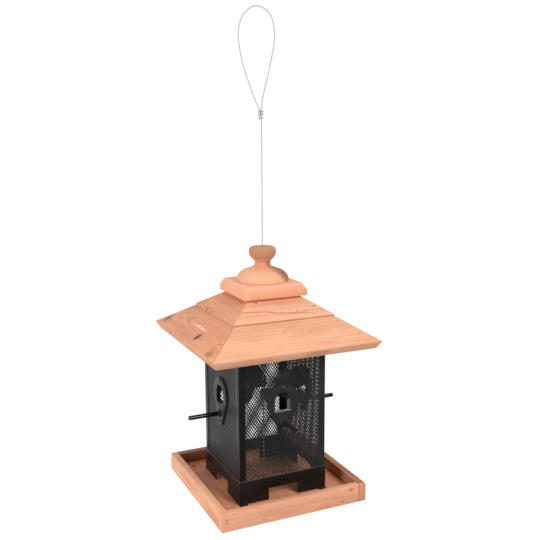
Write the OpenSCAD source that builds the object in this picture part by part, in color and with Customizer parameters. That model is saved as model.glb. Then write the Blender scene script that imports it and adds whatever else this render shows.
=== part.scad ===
// Hanging bird feeder: a mesh seed silo with four ports on a cedar tray, under a cedar pagoda roof
// that slides up its steel cable. Origin at the centre of the tray's underside, +Z up, millimetres.

/* [Tray] */
// Outer side of the square tray
tray_w = 240; // [220:1:300]
// Height of the tray rails
rail_h = 28.5; // [20:0.5:40]
// Thickness of the tray rails
rail_t = 11; // [8:0.5:14]
// Thickness of the tray floor
floor_t = 11; // [9:0.5:14]
// Diameter of a brad's shank
brad_d = 1.6; // [1.2:0.1:2]
// Length of a brad
brad_l = 20; // [16:1:24]

/* [Silo] */
// Outer side of the square silo
silo_w = 145; // [135:1:155]
// Height of the silo's top rim above the tray floor
silo_h = 261; // [240:1:290]
// Width of a corner post's legs
post_leg = 11; // [8:0.5:14]
// Thickness of the sheet steel of posts, skirt and rim
sheet_t = 1; // [0.8:0.1:1.4]
// Thickness of the mesh panels
mesh_t = 0.8; // [0.6:0.1:1.2]
// Distance between the mesh openings along a row
mesh_pitch_x = 24.6; // [20:0.1:30]
// Distance between every second row of mesh openings
mesh_pitch_z = 36; // [30:0.5:44]
// Width of the strands between the mesh openings
strand_w = 2.2; // [1.6:0.1:3]
// Width of the seat that the rim's flange gives the roof
rim_seat = 10; // [8:0.5:12]
// Depth of the rim's leg inside the panels
rim_leg = 8; // [5:0.5:12]

/* [Skirt] */
// Height of the skirt above the tray floor
skirt_h = 37; // [32:0.5:42]
// How far the posts reach down inside the skirt
skirt_lap = 10; // [6:0.5:14]
// Width of the seed notch in each side
notch_w = 49; // [36:1:60]
// Height of the seed notch
notch_h = 18.5; // [14:0.5:22]
// Width of a fixing tab
tab_w = 12.5; // [10:0.5:16]
// How far a fixing tab stands out
tab_l = 5.5; // [5:0.5:8]

/* [Ports] */
// Height of the port's centre above the tray floor
port_h = 154; // [140:1:170]
// Radius of the port plate's round top
plate_r = 26.5; // [24:0.5:29]
// Radius of the port plate's small lower end
tip_r = 7; // [6:0.5:9]
// Distance from the round top's centre down to the lower end's centre
tip_drop = 44; // [42:0.5:50]
// Thickness of the port plate
plate_t = 3; // [2:0.5:4]
// Half of the width of the arched opening
arch_r = 14.2; // [12:0.1:16]
// Distance from the arch's centre down to its sill
sill_drop = 15; // [12:0.5:18]
// Length of the opening's collar behind the plate
collar_l = 4; // [3:0.5:6]
// Wall of the opening's collar
collar_t = 1.3; // [1:0.1:1.6]
// Diameter of a perch
perch_d = 6.9; // [6:0.1:8]
// Length of a perch outside its plate
perch_l = 52; // [40:1:65]
// Distance from the port's centre down to the perch
perch_drop = 31.5; // [29:0.5:34]
// Radius of the perch's socket
socket_r = 6; // [5:0.1:6.5]
// How far the perch's socket stands out
socket_l = 4; // [3:0.5:6]
// Diameter of a port screw's shank
port_screw_d = 2.8; // [2.4:0.1:3.2]

/* [Hoods] */
// Depth of the hood behind the mesh
hood_depth = 44.7; // [36:0.1:46]
// Height of the hood's top edge above the port's centre, at the mesh
hood_rise = 21.4; // [18:0.1:23]
// Slope of the hood's top in degrees
hood_slope = 17.2; // [12:0.1:24]
// Outer radius of the hood's nose
nose_r = 9; // [7:0.5:11]
// Height of the nose's lower edge below the port's centre
nose_drop = 9; // [6:0.5:10]
// Wall of the hood and its flange
hood_t = 1.3; // [1.2:0.1:2]

/* [Roof] */
// Outer side of the square roof, across the eaves
roof_w = 271; // [255:1:290]
// Depth of the eaves' top edge below the silo's top rim
eave_drop = 13.3; // [10:0.1:16]
// Slope of the roof in degrees
roof_slope = 32; // [30:0.5:33]
// Thickness of the roof boards
board_t = 14; // [12:0.5:15]
// Half of the width across the upper boards' lower edges
upper_half = 82; // [76:0.5:88]
// How far the upper boards stand above the lower ones
lap_step = 2.2; // [1:0.1:4]
// Width of the lap between upper and lower boards
lap_w = 12; // [8:0.5:16]
// Width of the bars under the roof
bar_w = 18; // [14:0.5:22]
// Width of the bars' lip around the silo
lip_w = 10; // [8:0.5:12]
// Depth of the bars' lip
lip_h = 9; // [5:0.5:12]
// Height of the cap block's underside above the eaves' top edge
cap_rise = 62; // [58:0.1:66]
// Side of the square cap block
cap_w = 103.5; // [96:0.5:110]
// Thickness of the cap block
cap_t = 19; // [16:0.5:22]
// Height of the cap block's upright edge
cap_band = 8.5; // [6:0.5:11]
// Width of the cap block's chamfer
cap_chamfer = 6; // [3:0.5:8]
// Height of the turned finial
finial_h = 54; // [50:0.5:60]
// Radius of the finial's foot
finial_r = 40.8; // [38:0.2:43]

/* [Cable] */
// Diameter of the steel cable
cable_d = 1.6; // [1.2:0.1:2]
// Diameter of the cable's hole through cap block and finial
cable_hole_d = 4.4; // [3.6:0.1:6]
// Length of the cable between the finial and the ferrule
cable_free = 193.3; // [120:0.1:300]
// Length of the ferrule
ferrule_l = 13; // [10:0.5:13]
// Wall of the ferrule round each strand
ferrule_wall = 1.8; // [0.8:0.1:2]
// Diameter of the stop washer under the tray floor
washer_d = 14; // [10:0.5:18]
// Depth of the recess for the cable's stop
recess_h = 5; // [4:0.5:6]

/* [Hidden] */
$fn = 64;

// Clearances
fit = 0.1;         // around screws, perches and the collar's opening in the mesh
strand_fit = 0.05; // around the cable in its sleeves
roof_gap = 1.5;    // between the silo and the lip of the roof's bars
over = 1;          // by which a cut runs past its solid

// Finishes
cedar = "#e9a882";
cedar_dark = "#d98f68";
black_steel = "#26272b";
black_plastic = "#2e2d31";
bright_steel = "#c9ccd0";

// Heights of the silo's parts above the ground
silo_top = floor_t + silo_h;
port_z = floor_t + port_h;
skirt_top = floor_t + skirt_h;
post_bottom = skirt_top - skirt_lap;
rim_z = silo_top - sheet_t;

// Silo planes, measured out from the axis
silo_half = silo_w / 2;
panel_face = silo_half - sheet_t;
panel_back = panel_face - mesh_t;
plate_face = panel_face + plate_t;
skirt_half = silo_half + sheet_t;

// Port fasteners
screw_zs = [port_z + plate_r - 5.5, port_z - tip_drop];
perch_z = port_z - perch_drop;
port_hole_r = port_screw_d / 2 + fit;
port_head_r = port_screw_d / 2 + 1.5;
port_head_h = 1.6;
boss_r = port_hole_r + 1.5;
boss_l = 2.5;
flange_inset = 1.5;
mesh_land = 2;

// Hood walls, clear of the collar's hole
mesh_hole_grow = collar_t + fit;
hood_half_in = arch_r + mesh_hole_grow;
hood_half_out = hood_half_in + hood_t;

// Skirt tabs, at the ends of the front and back sides
tab_x = skirt_half - tab_w / 2;
tab_y = skirt_half + tab_l / 2;
skirt_screw_d = 2;
skirt_screw_l = floor_t - 3;
skirt_head_r = 2;
skirt_head_h = 1.1;

// Brads
brad_head_r = brad_d / 2 + 0.5;
brad_head_h = 0.8;
corner_brad_x = -tray_w / 2 + rail_t * 0.7;
corner_brad_zs = [rail_h * 0.5, rail_h * 0.67];
floor_brad_xs = [-tray_w * 0.225, tray_w * 0.33];
floor_brad_z = floor_t * 0.6;

// Roof planes, by distance from the axis
eave_z = silo_top - eave_drop;
cap_z = eave_z + cap_rise;
roof_half = roof_w / 2;
rise = tan(roof_slope);
board_v = board_t / cos(roof_slope);
step_v = lap_step / cos(roof_slope);
lap_v = board_v / 2;
lap_half = upper_half - lap_w;
function face_z(half) = eave_z + (roof_half - half) * rise;
function under_z(half) = face_z(half) - board_v;
// Where the upper boards' faces and undersides meet the cap block
crown_half = roof_half - (cap_z - step_v - eave_z) / rise;
crown_in = crown_half - board_v / rise;
cap_half = cap_w / 2;
lip_in = silo_half + roof_gap;
bar_out = lip_in + lip_w;
bar_in = bar_out - bar_w;
lip_z = silo_top - lip_h;
finial_z = cap_z + cap_t;
roof_brad_half = (lip_in + bar_out) / 2;
roof_brad_l = under_z(roof_brad_half) + board_v / 3 - lip_z;
roof_brad_xs = [-silo_w * 0.38, 0, silo_w * 0.38];

// Finial: the foot's dome, the neck between its two coves, and the knob
foot_mid = finial_r * 0.44;
foot_h = finial_h * 0.352;
waist_r = finial_r * 0.3;
neck_low = finial_h * 0.455;
neck_high = finial_h * 0.52;
cove_low = neck_low - foot_h + 0.2;
cove_high = finial_r * 0.147;
knob_r = finial_r * 0.517;
knob_round = finial_r * 0.13;
knob_under = finial_r * 0.16;
flare = 40.5;
// Height at which the flare under the knob has turned into the knob's upright side
knob_z = neck_high + (cove_high + knob_under) * sin(flare)
    + (knob_r - waist_r - (cove_high + knob_under) * (1 - cos(flare))) / tan(flare);

// The cable's loop in its own plane: across, and height above the ferrule's top
strand_gap = 3;
tail_l = 3;
loop_turn = -25;
loop_route = [
    [0, 0], [0.8, 10], [3, 22], [6.5, 36], [10.5, 52], [14.5, 70], [18, 88], [20.2, 106],
    [19.2, 120], [15.5, 133], [7.5, 143.5], [-2, 148.4], [-6.5, 149], [-12, 148],
    [-19.5, 143.5], [-28, 133], [-32.2, 120], [-33.5, 106], [-32, 90], [-28.5, 72],
    [-23.5, 54], [-17.5, 36], [-11, 18], [-6, 7]
];
curve_steps = 3;
cable_sides = 8;
ferrule_z = finial_z + finial_h + cable_free;
ferrule_top = ferrule_z + ferrule_l;
washer_t = 1;
stop_z = 0.5;
cable_z = 1;

// One of the four sides of the feeder: front, right, back and left
module on_side(k) { rotate([0, 0, 90 * k]) children(); }

// A bar of a side-on profile of [distance from the axis, height], mitred where the sides meet
module mitred_side(profile, reach) {
    intersection() {
        translate([-reach, 0, 0])
            rotate([90, 0, 90]) linear_extrude(2 * reach) mirror([1, 0]) polygon(profile);
        linear_extrude(2 * reach) polygon([[0, 0], [-reach, -reach], [reach, -reach]]);
    }
}

// An outline of x and z on the front side, made solid between two distances from the axis
module panel_solid(inner, outer) {
    translate([0, -inner, 0]) rotate([90, 0, 0]) linear_extrude(outer - inner) children();
}

// A rod on the front side between two distances from the axis
module rod(r, inner, outer, z) {
    translate([0, -inner, z]) rotate([90, 0, 0]) cylinder(r = r, h = outer - inner);
}

// Points on an elliptic arc about a centre, between two angles
function arc_points(cx, cy, rx, ry, from, to, steps) = [
    for (i = [0:steps]) let (a = from + (to - from) * i / steps) [cx + rx * cos(a), cy + ry * sin(a)]
];

// Tray
module tray_floor() {
    inner = tray_w - 2 * rail_t;
    color(cedar) difference() {
        translate([-inner / 2, -inner / 2, 0]) cube([inner, inner, floor_t]);
        translate([0, 0, -over]) cylinder(r = washer_d / 2 + fit, h = recess_h + over);
        cylinder(r = cable_hole_d / 2, h = floor_t + over);
        at_tabs() translate([0, 0, floor_t - skirt_screw_l])
            cylinder(r = skirt_screw_d / 2, h = skirt_screw_l + over);
    }
}

module tray_rail(k) {
    color(k % 2 == 0 ? cedar : cedar_dark) on_side(k)
        translate([-tray_w / 2, -tray_w / 2, 0]) cube([tray_w - rail_t, rail_t, rail_h]);
}

module brad(length) {
    cylinder(r = brad_d / 2, h = length);
    cylinder(r = brad_head_r, h = brad_head_h);
}

// The corner brads run through a rail into the next rail's end, the others into the floor
module tray_brads() {
    color(bright_steel) for (k = [0:3]) on_side(k) translate([0, -tray_w / 2, 0]) {
        for (z = corner_brad_zs) translate([corner_brad_x, 0, z]) rotate([-90, 0, 0]) brad(brad_l);
        for (x = floor_brad_xs) translate([x, 0, floor_brad_z]) rotate([-90, 0, 0]) brad(brad_l);
    }
}

// Skirt
module at_tabs() {
    for (sx = [-1, 1], sy = [-1, 1]) translate([sx * tab_x, sy * tab_y, 0]) children();
}

module base_skirt() {
    color(black_steel) difference() {
        union() {
            translate([-skirt_half, -skirt_half, floor_t]) cube([2 * skirt_half, 2 * skirt_half, skirt_h]);
            for (sx = [-1, 1]) translate([sx * tab_x - tab_w / 2, -skirt_half - tab_l, floor_t])
                cube([tab_w, 2 * (skirt_half + tab_l), sheet_t]);
        }
        translate([-silo_half, -silo_half, floor_t - over]) cube([silo_w, silo_w, skirt_h + 2 * over]);
        for (k = [0, 1]) on_side(k)
            translate([-notch_w / 2, -silo_w, floor_t - over]) cube([notch_w, 2 * silo_w, notch_h + over]);
        at_tabs() translate([0, 0, floor_t - over])
            cylinder(r = skirt_screw_d / 2 + fit, h = sheet_t + 2 * over);
    }
}

module skirt_screws() {
    color(black_steel) at_tabs() {
        translate([0, 0, floor_t + sheet_t]) cylinder(r = skirt_head_r, h = skirt_head_h);
        translate([0, 0, floor_t + sheet_t - skirt_screw_l])
            cylinder(r = skirt_screw_d / 2, h = skirt_screw_l);
    }
}

// Silo
module corner_post(k) {
    color(black_steel) on_side(k) translate([-silo_half, -silo_half, post_bottom]) difference() {
        cube([post_leg, post_leg, rim_z - post_bottom]);
        translate([sheet_t, sheet_t, -over]) cube([post_leg, post_leg, silo_h]);
    }
}

module top_rim() {
    seat_in = silo_half - rim_seat;
    leg_in = panel_back - sheet_t;
    color(black_steel) difference() {
        union() {
            translate([-silo_half, -silo_half, rim_z]) cube([silo_w, silo_w, sheet_t]);
            translate([-panel_back, -panel_back, rim_z - rim_leg])
                cube([2 * panel_back, 2 * panel_back, rim_leg]);
        }
        translate([-seat_in, -seat_in, rim_z - over]) cube([2 * seat_in, 2 * seat_in, sheet_t + 2 * over]);
        translate([-leg_in, -leg_in, rim_z - rim_leg - over])
            cube([2 * leg_in, 2 * leg_in, rim_leg + over]);
    }
}

// The port's arched opening, larger all round by grow
module arch_outline(grow = 0) {
    r = arch_r + grow;
    translate([0, port_z]) circle(r = r);
    translate([-r, port_z - sill_drop - grow]) square([2 * r, sill_drop + grow]);
}

// Two circles and the straight flanks that touch both, smaller all round by inset
module teardrop_outline(inset = 0) {
    a = asin((plate_r - tip_r) / tip_drop);
    big = plate_r - inset;
    tip = tip_r - inset;
    tip_z = port_z - tip_drop;
    translate([0, port_z]) circle(r = big);
    translate([0, tip_z]) circle(r = tip);
    polygon([
        [-big * cos(a), port_z - big * sin(a)], [-tip * cos(a), tip_z - tip * sin(a)],
        [tip * cos(a), tip_z - tip * sin(a)], [big * cos(a), port_z - big * sin(a)]
    ]);
}

// One diamond opening of the expanded mesh
module diamond(x, z) {
    half_x = (mesh_pitch_x - strand_w) / 2;
    half_z = half_x * mesh_pitch_z / mesh_pitch_x;
    polygon([[x - half_x, z], [x, z - half_z], [x + half_x, z], [x, z + half_z]]);
}

// Staggered rows of diamonds between the posts, the skirt and the rim's leg, with a land under the plate
module mesh_openings() {
    half_w = silo_half - post_leg;
    high = rim_z - rim_leg;
    rows = ceil(2 * (high - skirt_top) / mesh_pitch_z);
    columns = ceil(half_w / mesh_pitch_x);
    difference() {
        intersection() {
            translate([-half_w, skirt_top]) square([2 * half_w, high - skirt_top]);
            for (row = [0:rows], column = [-columns:columns]) diamond(
                (column + (row % 2) / 2) * mesh_pitch_x,
                skirt_top + strand_w + row * mesh_pitch_z / 2
            );
        }
        teardrop_outline(mesh_land);
    }
}

module mesh_panel(k) {
    color(black_steel) on_side(k) panel_solid(panel_back, panel_face) difference() {
        translate([-panel_back, post_bottom]) square([2 * panel_back, rim_z - post_bottom]);
        mesh_openings();
        arch_outline(mesh_hole_grow);
        for (z = screw_zs) translate([0, z]) circle(r = port_hole_r);
    }
}

// Ports
module port_plate(k) {
    color(black_plastic) on_side(k) difference() {
        union() {
            panel_solid(panel_face, plate_face) teardrop_outline();
            panel_solid(panel_face - collar_l, plate_face) arch_outline(collar_t);
            rod(socket_r, panel_face, plate_face + socket_l, perch_z);
        }
        panel_solid(panel_face - collar_l - over, plate_face + over) arch_outline();
        rod(perch_d / 2 + fit, panel_face + sheet_t, plate_face + socket_l + over, perch_z);
        for (z = screw_zs) rod(port_hole_r, panel_face - over, plate_face + over, z);
    }
}

module perch(k) {
    r = perch_d / 2;
    length = plate_t - sheet_t + perch_l;
    tip = 1.5;
    color(black_plastic) on_side(k) translate([0, -panel_face - sheet_t, perch_z]) rotate([90, 0, 0])
        rotate_extrude() polygon(concat(
            [[0, 0], [r, 0]], arc_points(r - tip, length - tip, tip, tip, 0, 90, 6), [[0, length]]
        ));
}

// The hood's side-on outline of [depth behind the mesh, height], inset from its outer face
function hood_outline(inset, low_at_mesh, low_at_nose) =
    let (
        nose_d = hood_depth - nose_r,
        nose_z = port_z + hood_rise - nose_d * tan(hood_slope) - nose_r / cos(hood_slope),
        top = port_z + hood_rise - inset / cos(hood_slope),
        r = nose_r - inset
    )
    concat(
        [[0, low_at_mesh], [0, top]],
        arc_points(nose_d, nose_z, r, r, 90 - hood_slope, 0, 8),
        [[nose_d + r, low_at_nose]]
    );

module hood_solid(outline, half_w) {
    translate([-half_w, -panel_back, 0]) rotate([90, 0, 90]) linear_extrude(2 * half_w) polygon(outline);
}

module port_hood(k) {
    low = port_z - nose_drop;
    flange = panel_back - hood_t;
    color(black_plastic) on_side(k) difference() {
        union() {
            panel_solid(flange, panel_back) teardrop_outline(flange_inset);
            difference() {
                hood_solid(hood_outline(0, port_z, low), hood_half_out);
                hood_solid(hood_outline(hood_t, low - nose_r, low - nose_r), hood_half_in);
            }
            for (z = screw_zs) rod(boss_r, flange - boss_l, panel_back, z);
        }
        panel_solid(flange - over, panel_back + over) arch_outline(mesh_hole_grow);
        for (z = screw_zs) rod(port_hole_r, flange - boss_l - over, panel_back + over, z);
    }
}

module port_screws() {
    tip = panel_back - hood_t - boss_l;
    color(black_steel) for (k = [0:3]) on_side(k) for (z = screw_zs) {
        rod(port_screw_d / 2, tip, plate_face, z);
        rod(port_head_r, plate_face, plate_face + port_head_h, z);
    }
}

// Roof
module roof_bar(k) {
    color(cedar_dark) on_side(k) mitred_side([
        [bar_in, silo_top], [lip_in, silo_top], [lip_in, lip_z],
        [bar_out, lip_z], [bar_out, under_z(bar_out)], [bar_in, under_z(bar_in)]
    ], silo_top + bar_out);
}

module lower_board(k) {
    color(k % 2 == 0 ? cedar : cedar_dark) on_side(k) mitred_side([
        [roof_half, eave_z], [upper_half, face_z(upper_half)], [upper_half, face_z(upper_half) - lap_v],
        [lap_half, face_z(lap_half) - lap_v], [lap_half, under_z(lap_half)],
        [roof_half - board_t * sin(roof_slope), eave_z - board_t * cos(roof_slope)]
    ], silo_top + roof_half);
}

module upper_board(k) {
    color(k % 2 == 0 ? cedar : cedar_dark) on_side(k) mitred_side([
        [upper_half, face_z(upper_half) + step_v], [crown_half, cap_z], [crown_in, cap_z],
        [lap_half, under_z(lap_half) + step_v], [lap_half, face_z(lap_half) - lap_v],
        [upper_half, face_z(upper_half) - lap_v]
    ], silo_top + roof_half);
}

// Driven up through the bars into the lower boards
module roof_brads() {
    color(bright_steel) for (k = [0:3]) on_side(k) for (x = roof_brad_xs)
        translate([x, -roof_brad_half, lip_z]) brad(roof_brad_l);
}

module cap_block() {
    color(cedar) difference() {
        intersection_for(turn = [0, 90]) rotate([90, 0, turn]) translate([0, 0, -cap_half])
            linear_extrude(cap_w) polygon([
                [-cap_half, cap_z], [cap_half, cap_z], [cap_half, cap_z + cap_band],
                [cap_half - cap_chamfer, cap_z + cap_t], [cap_chamfer - cap_half, cap_z + cap_t],
                [-cap_half, cap_z + cap_band]
            ]);
        translate([0, 0, cap_z - over]) cylinder(r = cable_hole_d / 2, h = cap_t + 2 * over);
    }
}

module finial() {
    color(cedar_dark) translate([0, 0, finial_z]) difference() {
        rotate_extrude() polygon(concat(
            [[0, 0]],
            arc_points(foot_mid, 0, finial_r - foot_mid, foot_h, 0, 75, 8),
            arc_points(waist_r + cove_low, neck_low, cove_low, cove_low, 264, 180, 8),
            arc_points(waist_r + cove_high, neck_high, cove_high, cove_high, 180, 180 - flare, 5),
            arc_points(knob_r - knob_under, knob_z, knob_under, knob_under, -flare, 0, 5),
            arc_points(knob_r - knob_round, finial_h - knob_round, knob_round, knob_round, 0, 90, 7),
            [[0, finial_h]]
        ));
        translate([0, 0, -over]) cylinder(r = cable_hole_d / 2, h = finial_h + 2 * over);
    }
}

// Cable
// A point on the smooth curve from p1 to p2, t of the way along
function smooth_point(p0, p1, p2, p3, t) =
    0.5 * (2 * p1 + (p2 - p0) * t + (2 * p0 - 5 * p1 + 4 * p2 - p3) * t * t
    + (3 * p1 - p0 - 3 * p2 + p3) * t * t * t);
function smooth_curve(points, steps) = [
    for (i = [0:len(points) - 2], j = [0:steps - 1]) smooth_point(
        points[max(i - 1, 0)], points[i], points[i + 1],
        points[min(i + 2, len(points) - 1)], j / steps)
];
function line_normal(points, i) =
    let (v = points[min(i + 1, len(points) - 1)] - points[max(i - 1, 0)]) [v.y, -v.x] / norm(v);

// Up from the stop, round the loop and down again through the ferrule
cable_line = concat(
    [[0, cable_z]],
    [for (p = smooth_curve(concat(loop_route, [[-strand_gap, 0]]), curve_steps)) [p.x, ferrule_top + p.y]],
    [[-strand_gap, ferrule_top], [-strand_gap, ferrule_z - tail_l]]
);
spans = [for (i = [1:len(cable_line) - 1]) norm(cable_line[i] - cable_line[i - 1])];
echo(cable_length = spans * [for (span = spans) 1]);

module hanging_cable() {
    count = len(cable_line);
    points = [
        for (i = [0:count - 1], s = [0:cable_sides - 1])
            let (
                n = line_normal(cable_line, i), a = 360 * s / cable_sides,
                across = cable_d / 2 * cos(a), out = cable_d / 2 * sin(a)
            )
            [cable_line[i].x + across * n.x, out, cable_line[i].y + across * n.y]
    ];
    walls = [
        for (i = [0:count - 2], s = [0:cable_sides - 1])
            let (a = i * cable_sides + s, b = i * cable_sides + (s + 1) % cable_sides)
            [a, a + cable_sides, b + cable_sides, b]
    ];
    last = (count - 1) * cable_sides;
    start_cap = [for (s = [0:cable_sides - 1]) s];
    end_cap = [for (s = [cable_sides - 1:-1:0]) last + s];
    color(bright_steel) rotate([0, 0, loop_turn])
        polyhedron(points, concat(walls, [start_cap, end_cap]));
}

module cable_ferrule() {
    hole_r = cable_d / 2 + strand_fit;
    r = hole_r + ferrule_wall;
    web = r * 1.6;
    color(bright_steel) rotate([0, 0, loop_turn]) translate([-strand_gap, 0, ferrule_z]) difference() {
        union() {
            for (x = [0, strand_gap]) translate([x, 0, 0]) cylinder(r = r, h = ferrule_l);
            translate([0, -web / 2, 0]) cube([strand_gap, web, ferrule_l]);
        }
        for (x = [0, strand_gap]) translate([x, 0, -over]) cylinder(r = hole_r, h = ferrule_l + 2 * over);
    }
}

module cable_stop() {
    hole_r = cable_d / 2 + strand_fit;
    height = recess_h - washer_t - stop_z;
    color(bright_steel) translate([0, 0, stop_z]) difference() {
        cylinder(r = hole_r + ferrule_wall, h = height);
        translate([0, 0, -over]) cylinder(r = hole_r, h = height + 2 * over);
    }
}

module stop_washer() {
    color(bright_steel) translate([0, 0, recess_h - washer_t]) difference() {
        cylinder(r = washer_d / 2, h = washer_t);
        translate([0, 0, -over]) cylinder(r = cable_d / 2 + fit, h = washer_t + 2 * over);
    }
}

tray_floor();
tray_rail(0);  // tray_rail_front
tray_rail(1);  // tray_rail_right
tray_rail(2);  // tray_rail_back
tray_rail(3);  // tray_rail_left
tray_brads();
base_skirt();
skirt_screws();
corner_post(0);  // corner_post_front_left
corner_post(1);  // corner_post_front_right
corner_post(2);  // corner_post_back_right
corner_post(3);  // corner_post_back_left
top_rim();
mesh_panel(0);  // mesh_panel_front
mesh_panel(1);  // mesh_panel_right
mesh_panel(2);  // mesh_panel_back
mesh_panel(3);  // mesh_panel_left
port_plate(0);  // port_plate_front
port_plate(1);  // port_plate_right
port_plate(2);  // port_plate_back
port_plate(3);  // port_plate_left
port_hood(0);  // port_hood_front
port_hood(1);  // port_hood_right
port_hood(2);  // port_hood_back
port_hood(3);  // port_hood_left
perch(0);  // perch_front
perch(1);  // perch_right
perch(2);  // perch_back
perch(3);  // perch_left
port_screws();
roof_bar(0);  // roof_bar_front
roof_bar(1);  // roof_bar_right
roof_bar(2);  // roof_bar_back
roof_bar(3);  // roof_bar_left
lower_board(0);  // lower_board_front
lower_board(1);  // lower_board_right
lower_board(2);  // lower_board_back
lower_board(3);  // lower_board_left
upper_board(0);  // upper_board_front
upper_board(1);  // upper_board_right
upper_board(2);  // upper_board_back
upper_board(3);  // upper_board_left
roof_brads();
cap_block();
finial();
hanging_cable();
cable_ferrule();
cable_stop();
stop_washer();
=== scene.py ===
import logging
import math
from collections.abc import Callable, Mapping, Sequence
from dataclasses import dataclass, replace
from enum import Enum
from functools import cache
from typing import ClassVar

import bmesh
import bpy
from bmesh.types import BMesh, BMEdge, BMFace, BMVert
from mathutils import Matrix, Vector


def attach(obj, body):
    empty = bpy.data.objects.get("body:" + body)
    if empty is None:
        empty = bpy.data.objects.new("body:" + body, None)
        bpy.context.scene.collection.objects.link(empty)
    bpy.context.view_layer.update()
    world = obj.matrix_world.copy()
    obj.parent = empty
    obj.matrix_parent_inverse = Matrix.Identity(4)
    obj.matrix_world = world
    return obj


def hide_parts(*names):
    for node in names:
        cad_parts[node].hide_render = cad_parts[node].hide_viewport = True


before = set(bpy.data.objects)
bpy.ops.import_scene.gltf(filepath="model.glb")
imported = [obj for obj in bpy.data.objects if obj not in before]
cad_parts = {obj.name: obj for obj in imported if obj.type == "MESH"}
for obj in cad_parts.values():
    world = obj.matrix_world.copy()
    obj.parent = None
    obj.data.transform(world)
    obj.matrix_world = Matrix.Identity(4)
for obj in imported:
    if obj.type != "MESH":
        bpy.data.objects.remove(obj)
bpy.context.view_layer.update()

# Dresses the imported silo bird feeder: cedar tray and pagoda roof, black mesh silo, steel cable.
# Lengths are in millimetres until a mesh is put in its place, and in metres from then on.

LOG = logging.getLogger("feeder")
MM = 0.001
TO_METRES = Matrix.Scale(MM, 4)
# Longer than any piece, in mm: the half length of a knot that runs right through a board
THROUGH = 1000

Point = tuple[float, float, float]


class Body(Enum):
    """The two bodies that slide on each other."""

    BASE = "base"
    ROOF = "roof"


class Slot(Enum):
    """The record's material slots."""

    CEDAR = "cedar"
    STEEL = "black_steel"
    PLASTIC = "black_plastic"
    BRIGHT = "bright_steel"


class Side(Enum):
    """The feeder's four sides, as quarter turns from the front."""

    FRONT = 0
    RIGHT = 1
    BACK = 2
    LEFT = 3

    @property
    def turn(self) -> Matrix:
        """The turn about the axis that brings a front piece to this side."""
        return Matrix.Rotation(self.value * math.pi / 2, 4, "Z")

    @property
    def word(self) -> str:
        """The side's name as the nodes write it."""
        return self.name.lower()


# Nodes and colours


def linear(colour: str) -> tuple[float, float, float, float]:
    """Turns an sRGB hex colour to the linear values that shaders read.

    Args:
        colour: The colour as "#rrggbb".

    Returns:
        Red, green, blue and an alpha of one.
    """
    parts = [int(colour[i:i + 2], 16) / 255 for i in (1, 3, 5)]
    r, g, b = (p / 12.92 if p <= 0.04045 else ((p + 0.055) / 1.055) ** 2.4 for p in parts)
    return (r, g, b, 1.0)


def add(tree: bpy.types.NodeTree, kind: str, inputs: Mapping[str | int, object] | None = None,
        stops: Sequence[tuple[float, float]] = (), **settings: object) -> bpy.types.Node:
    """Adds one shader node with its settings, values and links.

    Args:
        tree: The material's or world's nodes.
        kind: The node's type without its ShaderNode prefix, and after a dot its operation.
        inputs: A value, a socket or a node for each input, by name or place. A node gives the first
            output that its settings leave on.
        stops: Grey stops of a colour ramp, as (place, level).
        **settings: The node's own properties.

    Returns:
        The new node.
    """
    kind, _, operation = kind.partition(".")
    node = tree.nodes.new("ShaderNode" + kind)
    if operation:
        node.operation = operation
    for key, value in settings.items():
        setattr(node, key, value)
    if stops:
        ramp = node.color_ramp.elements
        while len(ramp) < len(stops):
            ramp.new(0.5)
        for stop, (place, level) in zip(ramp, stops):
            stop.position, stop.color = place, (level, level, level, 1.0)
    for key, value in (inputs or {}).items():
        into = node.inputs[key] if isinstance(key, int) else next(
            s for s in node.inputs if s.enabled and s.name == key)
        if isinstance(value, bpy.types.Node):
            value = next(s for s in value.outputs if s.enabled)
        if isinstance(value, bpy.types.NodeSocket):
            tree.links.new(value, into)
        else:
            into.default_value = value
    return node


def new_material(name: str) -> tuple[bpy.types.Material, bpy.types.NodeTree]:
    """Starts a material with an empty node tree.

    Args:
        name: The finish's name.

    Returns:
        The material and its nodes.
    """
    material = bpy.data.materials.new(name)
    material.use_nodes = True
    material.node_tree.nodes.clear()
    return material, material.node_tree


# Finishes


@dataclass(frozen=True)
class Knot:
    """A knot, pin knot or fleck that runs through a board from face to back."""

    along: float  # Its place along the board, in mm
    across: float  # Its place across the board, in mm
    half_along: float  # Half of its width along the board
    half_across: float  # Half of its width across the board
    heart: str = "#7a4a30"  # The colour inside it
    rim: str = "#a4683f"  # The colour of the bark line round it
    swirl: float = 0.0  # How far it pushes the grain aside, in mm
    tilt: float = 0.0  # Its turn on the face, in degrees
    depth: float = 0.85  # How strongly it shows, from 0 to 1
    pointed: bool = False  # Whether it tapers to points, as a torn splinter does
    on_edge: bool = False  # Whether it runs out of the board's edge; across is then its height off the face


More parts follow.
